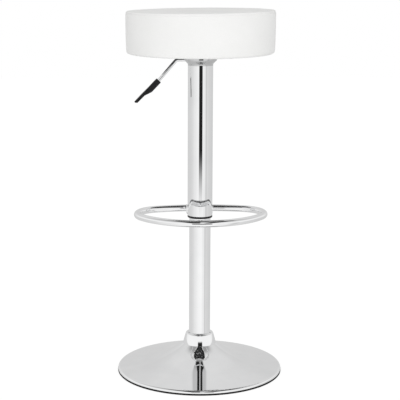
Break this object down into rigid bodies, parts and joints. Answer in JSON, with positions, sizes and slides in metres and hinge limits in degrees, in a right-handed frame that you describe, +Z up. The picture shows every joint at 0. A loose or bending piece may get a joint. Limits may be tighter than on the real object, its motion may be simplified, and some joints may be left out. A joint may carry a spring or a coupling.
{
  "type": "bar stool",
  "caption": "Height-adjustable swivel bar stool with a round padded seat, chromed column, looped footrest, lift lever and trumpet base.",
  "frame": {"origin": "centre of the floor ring's underside, on the floor below the column", "axes": "+Z up along the column, -Y the way the sitter faces over the footrest, -X the lever's side at rest"},
  "size_m": [0.3877, 0.3878, 0.8536],
  "materials": {
    "chrome": "polished",
    "steel": "satin",
    "black_steel": "satin",
    "iron": "matte",
    "rubber": "matte",
    "black_plastic": "satin",
    "pale_plastic": "satin",
    "leatherette": "satin",
    "foam": "matte",
    "plywood": "matte",
    "black_cloth": "matte"
  },
  "bodies": {
    "base": {"base_shell": "chrome", "floor_ring": "rubber", "base_weight": "iron", "hub_cover": "chrome", "column_tube": "chrome", "column_foot": "steel", "clamp_washer": "steel", "lock_washer": "steel", "clamp_nut": "steel", "guide_bush": "pale_plastic", "lower_race": "steel"},
    "cage": {"ball_cage": "pale_plastic", "bearing_balls": "steel"},
    "spindle": {"upper_race": "steel", "piston_rod": "steel", "rod_clip": "steel", "buffer": "rubber", "piston": "steel"},
    "lift": {"gas_cylinder": "black_steel", "rod_gland": "steel", "valve_body": "steel", "taper_socket": "steel", "sleeve_tube": "chrome", "sleeve_head": "steel", "sleeve_bush": "black_plastic", "footrest_ring": "chrome", "footrest_saddle": "chrome", "footrest_strap": "chrome", "footrest_screws": "steel", "bell_housing": "chrome", "mount_plate": "black_steel", "pivot_bracket": "steel", "pivot_pin": "steel", "seat_board": "plywood", "seat_foam": "foam", "seat_cover": "leatherette", "dust_cover": "black_cloth", "tee_nuts": "steel", "seat_washers": "steel", "seat_bolts": "steel"},
    "lever": {"lever_rod": "chrome", "lever_grip": "black_plastic"},
    "release": {"release_pin": "steel"}
  },
  "joints": [
    {"name": "seat_swivel", "type": "hinge", "parent": "base", "child": "spindle", "pos_m": [0, 0, 0.0892], "axis": [0, 0, 1], "continuous": true},
    {"name": "cage_turn", "type": "hinge", "parent": "base", "child": "cage", "pos_m": [0, 0, 0.0892], "axis": [0, 0, 1], "continuous": true},
    {"name": "height_slide", "type": "slide", "parent": "spindle", "child": "lift", "axis": [0, 0, 1], "range_m": [-0.21, 0]},
    {"name": "lever_pivot", "type": "hinge", "parent": "lift", "child": "lever", "pos_m": [-0.022, 0, 0.7371], "axis": [0, 1, 0], "range_deg": [0, 8], "stiffness_Nm_per_rad": 3, "springref_deg": -2.86},
    {"name": "release_slide", "type": "slide", "parent": "lift", "child": "release", "axis": [0, 0, 1], "range_m": [-0.0035, 0]}
  ],
  "couplings": [
    {"joint": "cage_turn", "follows": "seat_swivel", "ratio": 0.5},
    {"joint": "release_slide", "follows": "lever_pivot", "m_per_rad": -0.022}
  ]
}
